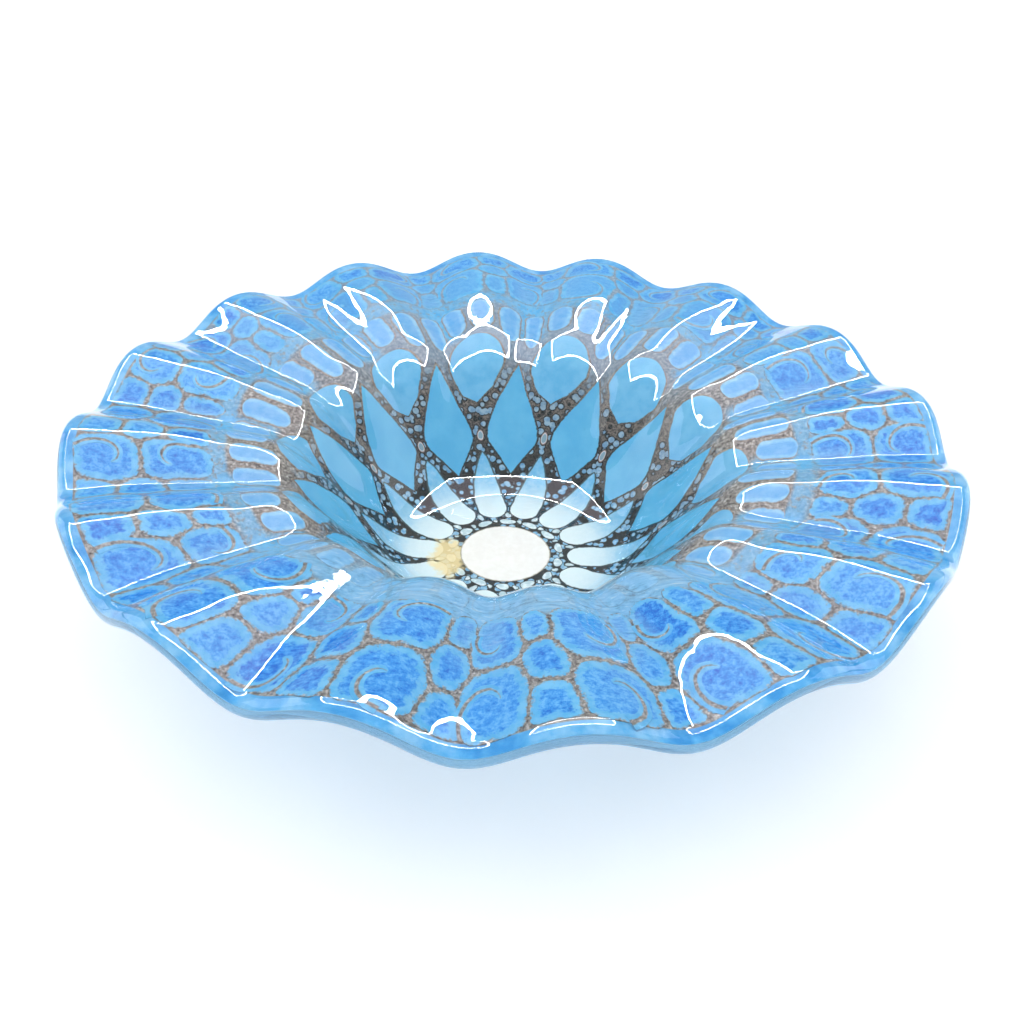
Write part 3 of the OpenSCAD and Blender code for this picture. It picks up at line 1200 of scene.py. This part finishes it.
def add_sky():
    """Soft light from above that fills the bowl but shows in no reflection."""
    data = bpy.data.lights.new("sky", "SUN")
    data.energy = SKY_GLARE
    data.angle = SKY_SPREAD
    lamp = add_lamp(data, SKY_TURN)
    lamp.visible_glossy = False


def hang_lamp(name, place, turn, long, wide, glare, colour=(1.0, 1.0, 1.0)):
    """A lamp that shows only as a reflection."""
    data = bpy.data.lights.new(name, "AREA")
    data.shape = "RECTANGLE"
    data.size = long
    data.size_y = wide
    data.energy = math.pi * glare * long * wide
    data.color = colour
    lamp = add_lamp(data, turn, place)
    lamp.visible_camera = False
    lamp.visible_diffuse = False


def add_strip(name, start, end, wide):
    """A strip lamp of the window's frame, which looks straight down."""
    run = Vector(end) - Vector(start)
    middle = (Vector(start) + Vector(end)) / 2
    turn = (0, 0, math.atan2(run.y, run.x))
    hang_lamp(name, (middle.x, middle.y, WINDOW_HIGH), turn, run.length, wide, STRIP_GLARE)


def add_window():
    """A window framed in strip lamps, overhead and beyond the bowl, which every ridge reflects as a loop."""
    add_strip("strip_near", (-WINDOW_HALF, WINDOW_NEAR), (WINDOW_HALF, WINDOW_NEAR), STRIP_WIDE_NEAR)
    add_strip("strip_far", (-WINDOW_HALF, WINDOW_FAR), (WINDOW_HALF, WINDOW_FAR), STRIP_WIDE_FAR)
    for side in (-1, 1):
        out = WINDOW_HALF * side
        add_strip("strip_side", (out, WINDOW_NEAR), (out, WINDOW_FAR), STRIP_WIDE_SIDE)
        turn = (math.radians(90), 0, math.radians(90 * side))
        hang_lamp("side_card", (CARD_OUT * side, 0.3, 0.5), turn, CARD_LONG, CARD_WIDE, CARD_GLARE)
    middle = (0.0, (WINDOW_NEAR + WINDOW_FAR) / 2, WINDOW_HIGH + 0.01)
    deep = WINDOW_FAR - WINDOW_NEAR
    hang_lamp("window_glow", middle, (0, 0, 0), 2 * WINDOW_HALF, deep, GLOW_GLARE, GLOW_COLOUR)


def light_world():
    """Plain soft light from all round, which shows as white behind the bowl."""
    world = bpy.data.worlds.new("studio")
    f = Finish(world, "ShaderNodeOutputWorld")
    seen = None
    for ray, strength in WORLD_GLOW:
        glow = f.node("ShaderNodeBackground", {}, {"Color": "#FFFFFF", "Strength": strength})
        seen = f.either(f.ray(ray), seen, glow) if ray else glow
    bpy.context.scene.world = f.show(seen)


add_floor()
add_window()
add_sky()
light_world()
bpy.context.scene.view_settings.view_transform = "Standard"

# ------------------------------------------------------------------ what shows where


def patches_of(piece, count):
    """The places of each patch of a piece that is made of so many like patches."""
    spots = [v.co for v in piece.data.vertices]
    size = len(spots) // count
    return [spots[k * size:(k + 1) * size] for k in range(count)]


def middle_of(spots):
    return sum(spots, Vector()) / len(spots)


def tip_of(spots):
    """The middle of the last row on the upper side of a pane."""
    return spots[len(spots) // 2 - 1 - PANE_COLS // 2]


def lobe_top(name):
    """The highest place of the outline near a named image point."""
    x = POINTS[name][0]
    return min((p for p in outline if abs(p[0] - x) < LOBE_REACH), key=lambda p: p[1])


def nearest_to(name, shown):
    """How far the nearest of some shown places lies from a named image point."""
    point = Vector(POINTS[name])
    best = min(shown, key=lambda place: (place - point).length)
    return [round(c, 2) for c in best - point]


crossings = [shows_at(middle_of(spots)) for spots in patches_of(bubbles, PETALS)]
tips = [shows_at(tip_of(spots)) for spots in patches_of(petals, PETALS)]
outline = [to_photo(v.co) for v in glass.data.vertices]
off = {
    "left": [round(min(p[0] for p in outline) - POINTS["left"][0], 2), None],
    "right": [round(max(p[0] for p in outline) - POINTS["right"][0], 2), None],
    "top": [None, round(min(p[1] for p in outline) - POINTS["top"][1], 2)],
    "bottom": [None, round(max(p[1] for p in outline) - POINTS["bottom"][1], 2)],
    "disc middle": nearest_to("disc middle", [shows_at(middle_of([v.co for v in disc.data.vertices]))]),
    "amber stain": nearest_to("amber stain", [shows_at(stain_at * MM)]),
}
for name in POINTS:
    if name.startswith("crossing"):
        off[name] = nearest_to(name, crossings)
    if name.startswith("petal tip"):
        off[name] = nearest_to(name, tips)
    if name.startswith("ridge"):
        off[name] = nearest_to(name, [Vector(lobe_top(name))])
